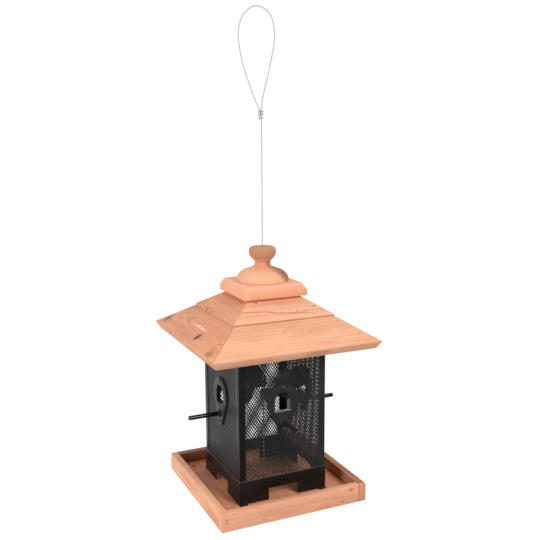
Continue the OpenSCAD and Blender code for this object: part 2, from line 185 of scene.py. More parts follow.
@dataclass(frozen=True)
class Cedar:
    """Western red cedar, planed and sanded, with no stain or varnish, so that it looks dry and pale.

    The rings are the board's own: cylinders round a pith line that lies beside or under it, so that
    faces, edges and end grain agree. Dense latewood gives the thin darker lines.
    """

    name: str
    light: str = "#f2b48e"  # Earlywood's colour
    dark: str = "#c9835c"  # Latewood's colour
    blush: str = "#dd9873"  # The colour of the redder heartwood patches
    ring: float = 7.0  # Distance between latewood lines, in mm
    contrast: float = 0.45  # How strongly the latewood shows
    # Where the pith passes, across the board and in its depth, in mm
    pith: tuple[float, float] = (-260.0, -90.0)
    lean: float = 0.0  # The pith's lean to the face in degrees, which draws arches on it
    wander: float = 5.0  # How far the rings stray from true cylinders, in mm
    patches: float = 0.5  # How much of the blush shows
    seed: float = 0.0  # A number of the board's own for its random parts
    arris: float = 0.3  # How much paler the eased edges are
    origin: Point = (0.0, 0.0, 0.0)  # The board's origin, in mm
    # The board's turn in degrees; x then runs along the grain, y across it, z out of the face
    turn: Point = (0.0, 0.0, 0.0)
    knots: tuple[Knot, ...] = ()
    slot: ClassVar[Slot] = Slot.CEDAR

    def on_side(self, side: Side, place: Point, tilt: float, seed: float) -> "Cedar":
        """Returns this wood as one side's board, from its place on the front side and its face's tilt."""
        return replace(self, name=f"{self.name}_{side.word}", origin=tuple(side.turn @ Vector(place)),
                       turn=(tilt, 0, 90 * side.value), seed=seed)

    def build(self) -> bpy.types.Material:
        """Builds the wood's nodes and returns the material."""
        material, tree = new_material(self.name)
        board = add(tree, "Mapping", {
            "Vector": add(tree, "TexCoord").outputs["Object"], "Location": Vector(self.origin) * MM,
            "Rotation": [math.radians(a) for a in self.turn], "Scale": (MM, MM, MM)}, vector_type="TEXTURE")
        # Everything in wood is drawn out along the grain: rings 25, fibres 45 and blush 5 times
        grain = add(tree, "Mapping", {
            "Vector": board, "Location": (0, *self.pith), "Rotation": (0, math.radians(self.lean), 0),
            "Scale": (25, 1, 1)}, vector_type="TEXTURE")
        strands, clouds = (
            add(tree, "Mapping", {"Vector": board, "Scale": (1 / times, 1, 1)}) for times in (45, 5))
        # The rings drift over 30 mm and the blush is 16 mm wide. Fibres are finer than the render shows,
        # so they are drawn 1.4 mm wide and 60 mm long
        drift, fibre, patch = (
            add(tree, "TexNoise", {"Vector": place, "W": self.seed + own, "Scale": 1 / size, "Detail": detail,
                                   "Roughness": rough}, noise_dimensions="4D")
            for place, own, size, detail, rough in (
                (grain, 0, 30, 2.0, 0.45), (strands, 9, 1.4, 3.0, 0.6), (clouds, 4, 16, 2.0, 0.5)))

        # Distance from the pith gives the rings, and fibres tear the edges of the knots
        reach = add(tree, "VectorMath.LENGTH", {0: grain})
        phase = add(tree, "Math.MULTIPLY_ADD", {0: drift, 1: 2 * self.wander, 2: reach})
        tear, fall_off = 0.7, -0.12
        edges = []
        for knot in self.knots:
            middle, half = (knot.along, knot.across, 0), (knot.half_along, knot.half_across, THROUGH)
            if knot.on_edge:
                middle, half = (knot.along, 0, knot.across), (knot.half_along, THROUGH, knot.half_across)
            spot = add(tree, "Mapping", {
                "Vector": board, "Location": middle, "Rotation": (0, 0, math.radians(knot.tilt)),
                "Scale": half}, vector_type="TEXTURE")
            if knot.pointed:
                spot = add(tree, "VectorMath.ABSOLUTE", {0: spot})
                away = add(tree, "VectorMath.DOT_PRODUCT", {0: spot, 1: (1, 1, 0)})
            else:
                away = add(tree, "VectorMath.LENGTH", {0: spot})
            edges.append(add(tree, "Math.MULTIPLY_ADD", {0: fibre, 1: tear, 2: away}))
            if knot.swirl:
                square = add(tree, "Math.MULTIPLY", {0: away, 1: away})
                fall = add(tree, "Math.MULTIPLY", {0: square, 1: fall_off})
                pull = add(tree, "Math.EXPONENT", {0: fall})
                phase = add(tree, "Math.MULTIPLY_ADD", {0: pull, 1: knot.swirl, 2: phase})

        # Each year's ring is as dark as that year was good, and darkest just before its end
        rings = add(tree, "Math.DIVIDE", {0: phase, 1: self.ring})
        year = add(tree, "Math.FLOOR", {0: rings})
        vigour = add(tree, "TexWhiteNoise", {"W": year}, noise_dimensions="1D")
        within = add(tree, "Math.FRACT", {0: rings})
        late = add(tree, "ValToRGB", {0: within}, stops=(
            (0.0, 0.12), (0.35, 0.0), (0.78, 0.55), (0.93, 1.0), (1.0, 0.12)))
        strength = add(tree, "Math.MULTIPLY_ADD", {0: vigour, 1: 0.75, 2: 0.25})
        lines = add(tree, "Math.MULTIPLY", {0: late, 1: strength})
        # Thin lines between the broad ones, as narrow growth in dry years leaves them
        fine = add(tree, "Math.MULTIPLY", {0: rings, 1: 3.7})
        fine_within = add(tree, "Math.PINGPONG", {0: fine, 1: 0.5})
        fine_late = add(tree, "ValToRGB", {0: fine_within}, stops=((0.0, 0.0), (0.3, 0.0), (0.5, 1.0)))
        fine_part = add(tree, "Math.MULTIPLY_ADD", {0: fine_late, 1: 0.35, 2: lines})
        shown = add(tree, "Math.MULTIPLY", {0: fine_part, 1: self.contrast}, use_clamp=True)

        blushed = add(tree, "MapRange", {0: patch, 1: 0.42, 2: 0.68, 3: 0.0, 4: self.patches},
                      interpolation_type="SMOOTHSTEP")
        colour = linear(self.light)
        for share, tone in ((blushed, self.blush), (shown, self.dark)):
            colour = add(tree, "Mix", {"Factor": share, "A": colour, "B": linear(tone)}, data_type="RGBA")
        fleck = add(tree, "ValToRGB", {0: fibre}, stops=((0.25, 0.80), (0.5, 0.97), (0.75, 1.0)))
        colour = add(tree, "Mix", {"Factor": 0.75, "A": colour, "B": fleck}, data_type="RGBA",
                     blend_type="MULTIPLY")
        for knot, edge in zip(self.knots, edges):
            for low, high, tone in ((1.45, 1.15, knot.rim), (1.15, 0.75, knot.heart)):
                inside = add(tree, "MapRange", {0: edge, 1: low, 2: high, 3: 0.0, 4: knot.depth},
                             interpolation_type="SMOOTHSTEP")
                colour = add(tree, "Mix", {"Factor": inside, "A": colour, "B": linear(tone)},
                             data_type="RGBA")
        # Sawn and sanded arrises are paler, because the grain there is freshly opened
        worn = add(tree, "Attribute", attribute_name="worn").outputs["Fac"]
        paler = add(tree, "Math.MULTIPLY", {0: worn, 1: self.arris})
        colour = add(tree, "Mix", {"Factor": paler, "A": colour, "B": linear("#f6c7a6")}, data_type="RGBA")

        rough = add(tree, "MapRange", {0: fibre, 1: 0.3, 2: 0.7, 3: 0.72, 4: 0.55})
        height = add(tree, "Math.MULTIPLY_ADD", {0: lines, 1: 0.5, 2: fibre})
        bump = add(tree, "Bump", {"Height": height, "Strength": 0.35, "Distance": 0.25 * MM})
        shader = add(tree, "BsdfPrincipled", {
            "Base Color": colour, "Roughness": rough, "Normal": bump, "IOR": 1.5, "Specular IOR Level": 0.35})
        add(tree, "OutputMaterial", {"Surface": shader})
        return material


@dataclass(frozen=True)
class Coated:
    """Something black with a thin skin: powder-coated sheet steel, or moulded polypropylene."""

    name: str
    colour: str  # The skin's colour
    edge: str  # The paler colour where the skin is thin, along edges
    roughness: float
    grit: float  # Size of the skin's dimples, in mm
    relief: float  # Depth of the dimples, in mm
    level: float = 0.4  # Specular level; lower for a matt coat
    dust: float = 0.0  # How much pale seed dust hazes it
    slot: Slot = Slot.STEEL  # The record's slot that it is the finish of

    def build(self) -> bpy.types.Material:
        """Builds the coat's nodes and returns the material."""
        material, tree = new_material(self.name)
        place = add(tree, "TexCoord").outputs["Object"]
        # Dimples give the skin's tooth; uneven shine and dust lie in clouds of about 40 mm
        dimples, cloud = (
            add(tree, "TexNoise", {
                "Vector": place, "Scale": 1 / (size * MM), "Detail": detail, "Roughness": rough})
            for size, detail, rough in ((self.grit, 2.0, 0.5), (38, 3.0, 0.6)))
        worn, highlit = (
            add(tree, "Attribute", attribute_name=name).outputs["Fac"] for name in ("worn", "painted_highlight"))
        haze = add(tree, "MapRange", {0: cloud, 1: 0.4, 2: 0.75, 3: 0.0, 4: self.dust})
        colour = linear(self.colour)
        # The last colour is a painted highlight, laid on the faces marked for it
        for share, tone in ((worn, self.edge), (haze, "#8a8178"), (highlit, "#cfcbc6")):
            colour = add(tree, "Mix", {"Factor": share, "A": colour, "B": linear(tone)}, data_type="RGBA")
        rough = add(tree, "MapRange", {
            0: cloud, 1: 0.25, 2: 0.75, 3: self.roughness - 0.06, 4: self.roughness + 0.08})
        bump = add(tree, "Bump", {"Height": dimples, "Strength": 0.5, "Distance": self.relief * MM})
        shader = add(tree, "BsdfPrincipled", {
            "Base Color": colour, "Roughness": rough, "Normal": bump, "IOR": 1.5,
            "Specular IOR Level": self.level})
        add(tree, "OutputMaterial", {"Surface": shader})
        return material


@dataclass(frozen=True)
class Galvanised:
    """Zinc-coated steel or aluminium, drawn or rolled, with a soft grey shine."""

    name: str
    colour: str  # The metal's colour
    stain: str  # The colour of its tarnish
    roughness: float
    tarnish: float  # How much of the tarnish shows
    metal: float = 1.0  # How metallic it looks; less where fine wires scatter the light
    slot: ClassVar[Slot] = Slot.BRIGHT

    def build(self) -> bpy.types.Material:
        """Builds the metal's nodes and returns the material."""
        material, tree = new_material(self.name)
        # The zinc's crystals, about 2.5 mm wide, take tarnish and shine unevenly
        spangle = add(tree, "TexNoise", {
            "Vector": add(tree, "TexCoord").outputs["Object"], "Scale": 1 / (2.5 * MM), "Detail": 3.0,
            "Roughness": 0.6})
        share = add(tree, "MapRange", {0: spangle, 1: 0.4, 2: 0.7, 3: 0.0, 4: self.tarnish})
        colour = add(tree, "Mix", {"Factor": share, "A": linear(self.colour), "B": linear(self.stain)},
                     data_type="RGBA")
        rough = add(tree, "MapRange", {
            0: spangle, 1: 0.3, 2: 0.7, 3: self.roughness, 4: self.roughness + 0.15})
        bump = add(tree, "Bump", {"Height": spangle, "Strength": 0.3, "Distance": 0.03 * MM})
        shader = add(tree, "BsdfPrincipled", {
            "Base Color": colour, "Metallic": self.metal, "Roughness": rough, "Normal": bump})
        add(tree, "OutputMaterial", {"Surface": shader})
        return material


Finish = Cedar | Coated | Galvanised


@cache
def material_of(finish: Finish) -> bpy.types.Material:
    """Returns a finish's material, which is built the first time it is asked for."""
    return finish.build()


# Piece making


def mesh_of(bm: BMesh, name: str) -> bpy.types.Mesh:
    """Turns a bmesh into mesh data and frees it.

    Args:
        bm: The bmesh.
        name: The mesh's name.

    Returns:
        The new mesh.
    """
    mesh = bpy.data.meshes.new(name)
    bm.to_mesh(mesh)
    bm.free()
    return mesh


def linked(name: str, data: bpy.types.ID) -> bpy.types.Object:
    """Makes an object and links it to the scene.

    Args:
        name: The object's name.
        data: Its mesh, lamp or camera.

    Returns:
        The new object.
    """
    made = bpy.data.objects.new(name, data)
    bpy.context.scene.collection.objects.link(made)
    return made


def finish_piece(bm: BMesh, name: str, finish: Finish, body: Body, node: str,
                 crease: float = 38.0) -> bpy.types.Object:
    """Turns a finished bmesh in metres into a piece that rides on its body.

    Args:
        bm: The piece's mesh, in place, which this frees.
        name: The piece's name.
        finish: What it is made of.
        body: The body that it rides on.
        node: The CAD node that it replaces.
        crease: The angle in degrees above which an edge stays sharp.

    Returns:
        The new object.
    """
    mesh = mesh_of(bm, name)
    mesh.materials.append(material_of(finish))
    mesh.shade_smooth()
    mesh.set_sharp_from_angle(angle=math.radians(crease))
    piece = linked(name, mesh)
    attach(piece, body.value)
    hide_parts(node)
    LOG.info("%s: %d faces on %s", name, len(mesh.polygons), body.value)
    return piece


def eased(node: str, ease: float, steps: int = 2, angle: float = 30.0) -> BMesh:
    """Copies a CAD node's mesh and eases its sharp edges.

    The rounded edge carries the corner attribute "worn", which the finishes read.

    Args:
        node: The CAD node's name.
        ease: The width of the eased edge, in mm.
        steps: How many faces round the edge.
        angle: The least angle in degrees that counts as an edge.

    Returns:
        The eased mesh, in metres.
    """
    same_place, same_plane = 0.001 * MM, math.radians(0.5)
    bm = bmesh.new()
    bm.from_mesh(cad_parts[node].data)
    bmesh.ops.remove_doubles(bm, verts=bm.verts, dist=same_place)
    bmesh.ops.dissolve_limit(bm, angle_limit=same_plane, verts=bm.verts, edges=bm.edges)
    worn = bm.loops.layers.float.new("worn")
    sharp = [e for e in bm.edges if len(e.link_faces) == 2 and e.calc_face_angle() > math.radians(angle)]
    made = bmesh.ops.bevel(bm, geom=sharp, offset=ease * MM, offset_type="OFFSET", affect="EDGES",
                           segments=steps, profile=0.5, material=-1, clamp_overlap=True)
    for face in made["faces"]:
        for loop in face.loops:
            loop[worn] = 1.0
    return bm


def dress_node(node: str, ease: float, name: str, finish: Finish, body: Body) -> None:
    """Puts a copy of a CAD node in its place, with edges eased by so many mm and a finish of its own."""
    finish_piece(eased(node, ease), name, finish, body, node)


def paint_highlight(bm: BMesh, amount: float, lies_on: Callable[[BMFace], bool]) -> BMesh:
    """Marks faces that get a painted highlight, with a corner attribute that the coats read as a pale colour.

    Args:
        bm: The mesh.
        amount: How pale they are, from 0 to 1.
        lies_on: Says whether a face is one of them.

    Returns:
        The same mesh.
    """
    painted_highlight = bm.loops.layers.float.new("painted_highlight")
    for face in bm.faces:
        if lies_on(face):
            for loop in face.loops:
                loop[painted_highlight] = amount
    return bm


def arc(cx: float, cy: float, rx: float, ry: float, start: float, end: float,
        steps: int) -> list[tuple[float, float]]:
    """Lays points on an elliptic arc.

    Args:
        cx: The centre across.
        cy: The centre up.
        rx: The radius across.
        ry: The radius up.
        start: The first angle in degrees.
        end: The last angle in degrees.
        steps: How many spans.

    Returns:
        The points from start to end.
    """
    angles = [math.radians(start + (end - start) * i / steps) for i in range(steps + 1)]
    return [(cx + rx * math.cos(a), cy + ry * math.sin(a)) for a in angles]


def turned(profile: Sequence[tuple[float, float]], steps: int) -> BMesh:
    """Spins a profile round the Z axis, as on a lathe.

    Args:
        profile: Points of (radius, height) in mm from one end to the other.
        steps: How many steps a full turn has.

    Returns:
        The turned mesh, in mm, with its faces outwards.
    """
    bm = bmesh.new()
    verts = [bm.verts.new((r, 0, z)) for r, z in profile]
    edges = [bm.edges.new(pair) for pair in zip(verts, verts[1:])]
    bmesh.ops.spin(bm, geom=[*verts, *edges], cent=(0, 0, 0), axis=(0, 0, 1), dvec=(0, 0, 0),
                   angle=2 * math.pi, steps=steps, use_merge=True)
    bmesh.ops.remove_doubles(bm, verts=bm.verts, dist=1e-4)
    bmesh.ops.recalc_face_normals(bm, faces=bm.faces)
    return bm


def grown(bm: BMesh, edges: Sequence[BMEdge]) -> tuple[list[BMEdge], list[BMVert]]:
    """Extrudes a ring of edges and returns the new ring's edges and vertices."""
    new = bmesh.ops.extrude_edge_only(bm, edges=edges)["geom"]
    return [g for g in new if isinstance(g, BMEdge)], [g for g in new if isinstance(g, BMVert)]


def swept(bm: BMesh, moves: Sequence[Matrix]) -> BMesh:
    """Draws a flat section out into a closed bar.

    Args:
        bm: The section's ring of edges.
        moves: The move from each ring to the next one.

    Returns:
        The same mesh, with both ends closed and its faces outwards.
    """
    edges: list[BMEdge] = list(bm.edges)
    bmesh.ops.contextual_create(bm, geom=edges)
    for move in moves:
        edges, verts = grown(bm, edges)
        bmesh.ops.transform(bm, matrix=move, verts=verts)
    bmesh.ops.contextual_create(bm, geom=edges)
    bmesh.ops.recalc_face_normals(bm, faces=bm.faces)
    return bm


def placed(bm: BMesh, *moves: Matrix) -> BMesh:
    """Puts a mesh in mm in its place and turns it to metres.

    Args:
        bm: The mesh.
        *moves: The moves in mm, the first one first.

    Returns:
        The same mesh.
    """
    for move in (*moves, TO_METRES):
        bmesh.ops.transform(bm, matrix=move, verts=bm.verts)
    return bm


def joined(parts: Sequence[BMesh]) -> BMesh:
    """Joins several meshes into one and frees them.

    Args:
        parts: The meshes.

    Returns:
        One new mesh.
    """
    whole = bmesh.new()
    for part in parts:
        scratch = mesh_of(part, "scratch")
        whole.from_mesh(scratch)
        bpy.data.meshes.remove(scratch)
    return whole


# Studio


@dataclass(frozen=True)
class Lamp:
    """One soft box."""

    name: str
    place: Point  # Where it stands, in metres
    width: float  # Its side, in metres
    watts: float  # Its power


def ray_kinds(tree: bpy.types.NodeTree) -> tuple[bpy.types.NodeSocket, bpy.types.Node]:
    """Tells the camera's rays, and those sent on by something that mirrors or lets light through.

    Args:
        tree: The nodes of the world or of the floor.

    Returns:
        Whether a ray is the camera's, and whether a mirror or glass sent it.
    """
    path = add(tree, "LightPath").outputs
    mirrored = add(tree, "Math.MAXIMUM", {0: path["Is Glossy Ray"], 1: path["Is Transmission Ray"]})
    return path["Is Camera Ray"], mirrored


@dataclass(frozen=True)
class Studio:
    """The photograph's camera, soft boxes, a white surround and a pale floor under the hanging feeder."""

    lens: float = 51.53  # Focal length in mm
    sensor: float = 36.0  # The sensor's width in mm
    place: Point = (-0.4813, -1.0809, 0.5701)  # The camera's place, in metres
    azimuth: float = 24.564  # How far it looks to the right of straight back, in degrees
    pitch: float = 10.283  # How far it looks down, in degrees
    roll: float = 0.290  # Its roll, in degrees
    room: float = 0.2  # The light of the dim room in front, behind the camera
    backdrop: float = 0.8  # The light of the white backdrop behind and over the feeder
    floor_half: float = 9.0  # Half of the floor's width, in metres
    floor_drop: float = 0.9  # How far under the tray the floor lies, in metres
    floor_front: float = 0.5  # How pale the floor is in front, in the light that it throws back
    floor_back: float = 0.85  # How pale it is behind
    aim: Point = (0.0, 0.0, 0.22)  # The point that the lamps face
    lamps: tuple[Lamp, ...] = (
        Lamp("front_box", (0.75, -2.05, 1.5), 1.3, 47.0),
        Lamp("left_box", (-2.2, -0.45, 0.6), 1.2, 28.0),
    )

    def set_camera(self) -> None:
        """Places the camera and makes it the scene's."""
        az, down, roll = (math.radians(a) for a in (self.azimuth, self.pitch, self.roll))
        ahead = Vector((math.sin(az) * math.cos(down), math.cos(az) * math.cos(down), -math.sin(down)))
        right = Vector((math.cos(az), -math.sin(az), 0))
        under = ahead.cross(right)
        across = right * math.cos(roll) + under * math.sin(roll)
        below = under * math.cos(roll) - right * math.sin(roll)
        data = bpy.data.cameras.new("camera")
        data.lens, data.sensor_width = self.lens, self.sensor
        camera = linked("camera", data)
        turn = Matrix((across, -below, -ahead)).transposed().to_4x4()
        camera.matrix_world = Matrix.Translation(self.place) @ turn
        bpy.context.scene.camera = camera

    def hang_lamps(self) -> None:
        """Places the soft boxes, each facing the feeder."""
        for lamp in self.lamps:
            data = bpy.data.lights.new(lamp.name, "AREA")
            data.shape, data.size, data.energy = "SQUARE", lamp.width, lamp.watts
            facing = (Vector(self.aim) - Vector(lamp.place)).to_track_quat("-Z", "Y").to_matrix().to_4x4()
            linked(lamp.name, data).matrix_world = Matrix.Translation(lamp.place) @ facing

    def light_surround(self) -> None:
        """Lights the feeder from a white backdrop and a dim room, and shows plain white to the camera."""
        world = bpy.data.worlds.new("surround")
        world.use_nodes = True
        tree = world.node_tree
        tree.nodes.clear()
        camera, mirrored = ray_kinds(tree)
        way = add(tree, "SeparateXYZ", {0: add(tree, "TexCoord").outputs["Generated"]}).outputs
        # The light grows from the front to the back, and a little with height
        lifted = add(tree, "Math.MULTIPLY_ADD", {0: way["Z"], 1: 0.25, 2: way["Y"]})
        soft = add(tree, "MapRange", {0: lifted, 1: -0.45, 2: 0.6, 3: self.room, 4: self.backdrop},
                   interpolation_type="SMOOTHSTEP")
        # Metal and dark coats mirror the backdrop at its full white, and the dim room in front
        gain = add(tree, "Math.MULTIPLY_ADD", {0: mirrored, 1: 1 / self.backdrop - 1, 2: 1.0})
        level = add(tree, "Math.MULTIPLY", {0: soft, 1: gain})
        strength = add(tree, "MapRange", {0: camera, 1: 0.0, 2: 1.0, 3: level, 4: 1.0})
        light = add(tree, "Background", {"Color": (1, 1, 1, 1), "Strength": strength})
        add(tree, "OutputWorld", {"Surface": light})
        bpy.context.scene.world = world

    def lay_floor(self) -> None:
        """Lays a pale floor that keeps the feeder's shadow."""
        bm = bmesh.new()
        bmesh.ops.create_grid(bm, x_segments=2, y_segments=2, size=self.floor_half)
        bmesh.ops.translate(bm, verts=bm.verts, vec=(0, 0, -self.floor_drop))
        floor = linked("floor", mesh_of(bm, "floor"))
        material, tree = new_material("pale_floor")
        camera, mirrored = ray_kinds(tree)
        place = add(tree, "SeparateXYZ", {0: add(tree, "TexCoord").outputs["Object"]}).outputs
        # It grows paler from 0.8 m in front of the feeder to 0.8 m behind it
        behind = add(tree, "MapRange", {0: place["Y"], 1: -0.8, 2: 0.8, 3: 0.0, 4: 1.0},
                     interpolation_type="SMOOTHSTEP")
        gain = self.floor_back - self.floor_front
        sweep = add(tree, "Math.MULTIPLY_ADD", {0: behind, 1: gain, 2: self.floor_front})
        plain = add(tree, "BsdfDiffuse", {"Color": sweep})
        # The camera sees a white glow with the shadow laid on it, and mirrors see that behind the feeder
        glow = add(tree, "Emission", {"Color": (1, 1, 1, 1), "Strength": 0.86})
        dark, dim = (add(tree, "BsdfDiffuse", {"Color": (grey, grey, grey, 1)}) for grey in (0.08, 0.3))
        shown = add(tree, "AddShader", {0: glow, 1: dim})
        reflected = add(tree, "MixShader", {0: behind, 1: dark, 2: shown})
        unseen = add(tree, "MixShader", {0: mirrored, 1: plain, 2: reflected})
        both = add(tree, "MixShader", {0: camera, 1: unseen, 2: shown})
        add(tree, "OutputMaterial", {"Surface": both})
        floor.data.materials.append(material)

    def build(self) -> None:
        """Sets the camera, the lamps, the surround and the floor."""
        self.set_camera()
        self.hang_lamps()
        self.light_surround()
        self.lay_floor()
        bpy.context.scene.view_settings.view_transform = "Standard"
        LOG.info("studio: camera, %d lamps, surround and floor", len(self.lamps))


# Cable

# Fine drawn wires scatter the light, so the rope is a flat pale grey; the aluminium keeps a soft shine
CABLE_STEEL = Galvanised("galvanised_wire_rope", "#babbbf", "#a2a4a8", 0.6, 0.3, metal=0.1)
SLEEVE_METAL = Galvanised("crimped_aluminium", "#c4c5c7", "#8a8c8f", 0.35, 0.5, metal=0.5)
# Cedar's own acids brown the nails, and zinc plate is bright with a few dull clouds
NAIL_METAL = Galvanised("driven_steel_nail", "#a5806b", "#70483a", 0.5, 0.8, metal=0.5)
ZINC_PLATE = Galvanised("zinc_plated_washer", "#c5c7c9", "#8b8c8e", 0.38, 0.4)


@dataclass(frozen=True)
class Cable:
    """A laid steel cable from its stop under the tray to a loop, and the sleeve that closes the loop."""

    diameter: float = 1.6
    bottom: float = 1.0  # Where the cable starts, in its stop
    sleeve_low: float = 587.0  # The sleeve's lower end
    sleeve_length: float = 13.0
    # Half of the sleeve's width and of its thickness at the ends
    sleeve_half: tuple[float, float] = (4.1, 2.35)
    sleeve_lobe: float = 0.1  # How much fuller the sleeve is over its two strands
    # The sleeve's thickness from end to end with its two crimps, as (height, share)
    sleeve_shape: tuple[tuple[float, float], ...] = (
        (0.0, 0.94), (0.5, 1.0), (3.2, 1.0), (3.9, 0.86), (4.9, 0.86), (5.6, 1.0), (7.6, 1.0), (8.3, 0.86),
        (9.3, 0.86), (10.0, 1.0), (12.5, 1.0), (13.0, 0.94),
    )
    strand_gap: float = 3.0  # Distance between the two strands in the sleeve
    tail: float = 3.0  # How far the cable's end stands out under the sleeve
    loop_turn: float = -25.0  # The loop's turn about the axis, in degrees
    exit_height: float = 11.0  # Where the cable leaves the tray's floor
    strands: int = 6  # The strands laid round the core
    valley: float = 0.94  # The radius in the valleys between strands, as a share of the cable's
    lay: float = 11.0  # The length in which a strand goes once round
    step: float = 1.1  # Distance between the rings of the cable's skin
    spans: int = 10  # Spans between two points of the loop
    # The loop, as across and height above the sleeve's top
    route: tuple[tuple[float, float], ...] = (
        (0, 0), (0.8, 10), (3, 22), (6.5, 36), (10.5, 52), (14.5, 70), (18, 88), (20.2, 106),
        (19.2, 120), (15.5, 133), (7.5, 143.5), (-2, 148.4), (-6.5, 148.98), (-12, 148),
        (-19.5, 143.5), (-28, 133), (-32.2, 120), (-33.5, 106), (-32, 90), (-28.5, 72),
        (-23.5, 54), (-17.5, 36), (-11, 18), (-6, 7),
    )

    def curve(self) -> list[Vector]:
        """Returns the cable's line in its own plane, as across, zero and height."""
        top = self.sleeve_low + self.sleeve_length
        route = [Vector((x, 0, top + z)) for x, z in (*self.route, (-self.strand_gap, 0))]
        line = [Vector((0, 0, self.bottom))]
        for i in range(len(route) - 1):
            p0, p1, p2, p3 = (route[min(max(k, 0), len(route) - 1)] for k in (i - 1, i, i + 1, i + 2))
            for j in range(self.spans):
                t = j / self.spans
                line.append(0.5 * (2 * p1 + (p2 - p0) * t + (2 * p0 - 5 * p1 + 4 * p2 - p3) * t * t
                                   + (3 * p1 - p0 - 3 * p2 + p3) * t ** 3))
        line += [route[-1], Vector((-self.strand_gap, 0, self.sleeve_low - self.tail))]
        return line

    def rings(self) -> list[tuple[Vector, Vector, float]]:
        """Returns the centre, direction and distance run of each ring of the cable's skin."""
        line, made, run = self.curve(), [], 0.0
        for a, b in zip(line, line[1:]):
            span, ahead = (b - a).length, (b - a).normalized()
            count = max(1, math.ceil(span / self.step))
            made += [(a.lerp(b, i / count), ahead, run + span * i / count) for i in range(count)]
            run += span
        made.append((line[-1], made[-1][1], run))
        return made

    def frame_at(self, ring: tuple[Vector, Vector, float]) -> Matrix:
        """Returns the place and turn of a ring, with the lay's twist in it.

        Args:
            ring: The ring's centre, direction and distance run.
        """
        centre, ahead, run = ring
        out = Vector((0, 1, 0))
        turn = Matrix((out.cross(ahead), out, ahead)).transposed().to_4x4()
        return Matrix.Translation(centre) @ turn @ Matrix.Rotation(2 * math.pi * run / self.lay, 4, "Z")

    def rope(self) -> BMesh:
        """Lays the strands round the line and returns the rope, in mm."""
        bm = bmesh.new()
        section = bmesh.ops.create_circle(bm, segments=2 * self.strands, radius=self.diameter / 2)["verts"]
        for vert in section[1::2]:
            vert.co *= self.valley
        stations = [self.frame_at(ring) for ring in self.rings()]
        bmesh.ops.transform(bm, matrix=stations[0], verts=section)
        return swept(bm, [there @ here.inverted() for here, there in zip(stations, stations[1:])])

    def sleeve(self) -> BMesh:
        """Presses an oval sleeve with two crimps and returns it, in mm."""
        bm = bmesh.new()
        bmesh.ops.create_circle(bm, segments=28, radius=1.0)
        half_x, half_y = self.sleeve_half
        for vert in bm.verts:
            fuller = 1 + self.sleeve_lobe * vert.co.x ** 2
            vert.co.x, vert.co.y = vert.co.x * half_x, vert.co.y * half_y * fuller
        bmesh.ops.translate(bm, verts=bm.verts, vec=(-self.strand_gap / 2, 0, self.sleeve_low))
        return swept(bm, [Matrix.Translation((0, 0, z1 - z0)) @ Matrix.Diagonal((1, s1 / s0, 1, 1))
                          for (z0, s0), (z1, s1) in zip(self.sleeve_shape, self.sleeve_shape[1:])])

    def build(self) -> None:
        """Builds the cable and its sleeve, and dresses the stop and washer under the tray."""
        turn = Matrix.Rotation(math.radians(self.loop_turn), 4, "Z")
        sleeve = finish_piece(placed(self.sleeve(), turn), "loop_sleeve", SLEEVE_METAL, Body.BASE,
                              "cable_ferrule")
        rope = finish_piece(placed(self.rope(), turn), "wire_rope", CABLE_STEEL, Body.BASE, "hanging_cable",
                            crease=80)
        rings = self.rings()
        for node in ("cable_stop", "stop_washer"):
            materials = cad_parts[node].data.materials
            materials.clear()
            materials.append(material_of(ZINC_PLATE))
            LOG.info("%s: dressed", node)


# Fasteners

# Black oxide is a thin dark film, so the steel under it still glints
SCREW_STEEL = Coated("black_oxide_screw", "#2c2c2f", "#5a5a5d", 0.30, 0.6, 0.02, level=0.9)


@dataclass(frozen=True)
class Nails:
    """Driven nails, their heads a hair proud of the wood and their shanks in it."""

    name: str  # The piece's name
    node: str  # The CAD node that it replaces
    body: Body  # The body that it rides on
    heads: tuple[Point, ...]  # Each nail's place on the front side
    upward: bool = False  # Whether the nails point up, and not back
    length: float = 20.0  # A nail's length
    head: float = 1.3  # The head's radius
    crown: float = 0.91  # The radius of the head's flat
    brim: float = 0.7  # The head's thickness in the wood
    shank: float = 0.8  # The shank's radius
    point: float = 2.0  # The point's length
    proud: float = 0.12  # How far the head stands out
    steps: int = 14  # How many faces round the nail

    def build(self) -> None:
        """Drives the nails on all four sides."""
        turn = Matrix() if self.upward else Matrix.Rotation(-math.pi / 2, 4, "X")
        profile = [(0, -self.proud), (self.crown, -self.proud), (self.head, 0), (self.head, self.brim),
                   (self.shank, self.brim + 0.2), (self.shank, self.length - self.point), (0, self.length)]
        nails = [placed(turned(profile, self.steps), turn, Matrix.Translation(place), side.turn)
                 for side in Side for place in self.heads]
        finish_piece(joined(nails), self.name, NAIL_METAL, self.body, self.node)


